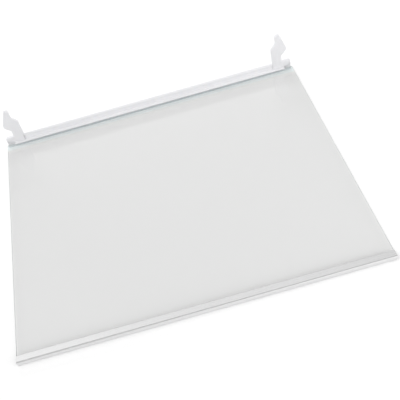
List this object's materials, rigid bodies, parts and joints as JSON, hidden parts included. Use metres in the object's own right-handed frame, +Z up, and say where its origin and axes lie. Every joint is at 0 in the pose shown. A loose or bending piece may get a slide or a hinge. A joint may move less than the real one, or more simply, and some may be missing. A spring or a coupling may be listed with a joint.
{
  "type": "fridge glass shelf",
  "caption": "Flat clear glass shelf for a refrigerator, with a bright channel strip along its front edge and a white rear trim with an upstand and barbed end hooks.",
  "frame": {"origin": "on the surface that the shelf lies on, under the middle of the whole shelf", "axes": "+X across the shelf, +Y from the front strip to the rear trim, +Z up from the surface"},
  "size_m": [0.45, 0.4, 0.067],
  "materials": {
    "clear_glass": "polished, with ground edges",
    "satin_aluminium": "satin anodised",
    "white_plastic": "smooth moulded, half gloss"
  },
  "bodies": {
    "root": {"glass_panel": "clear_glass", "front_trim": "satin_aluminium", "rear_trim": "white_plastic"}
  },
  "joints": []
}
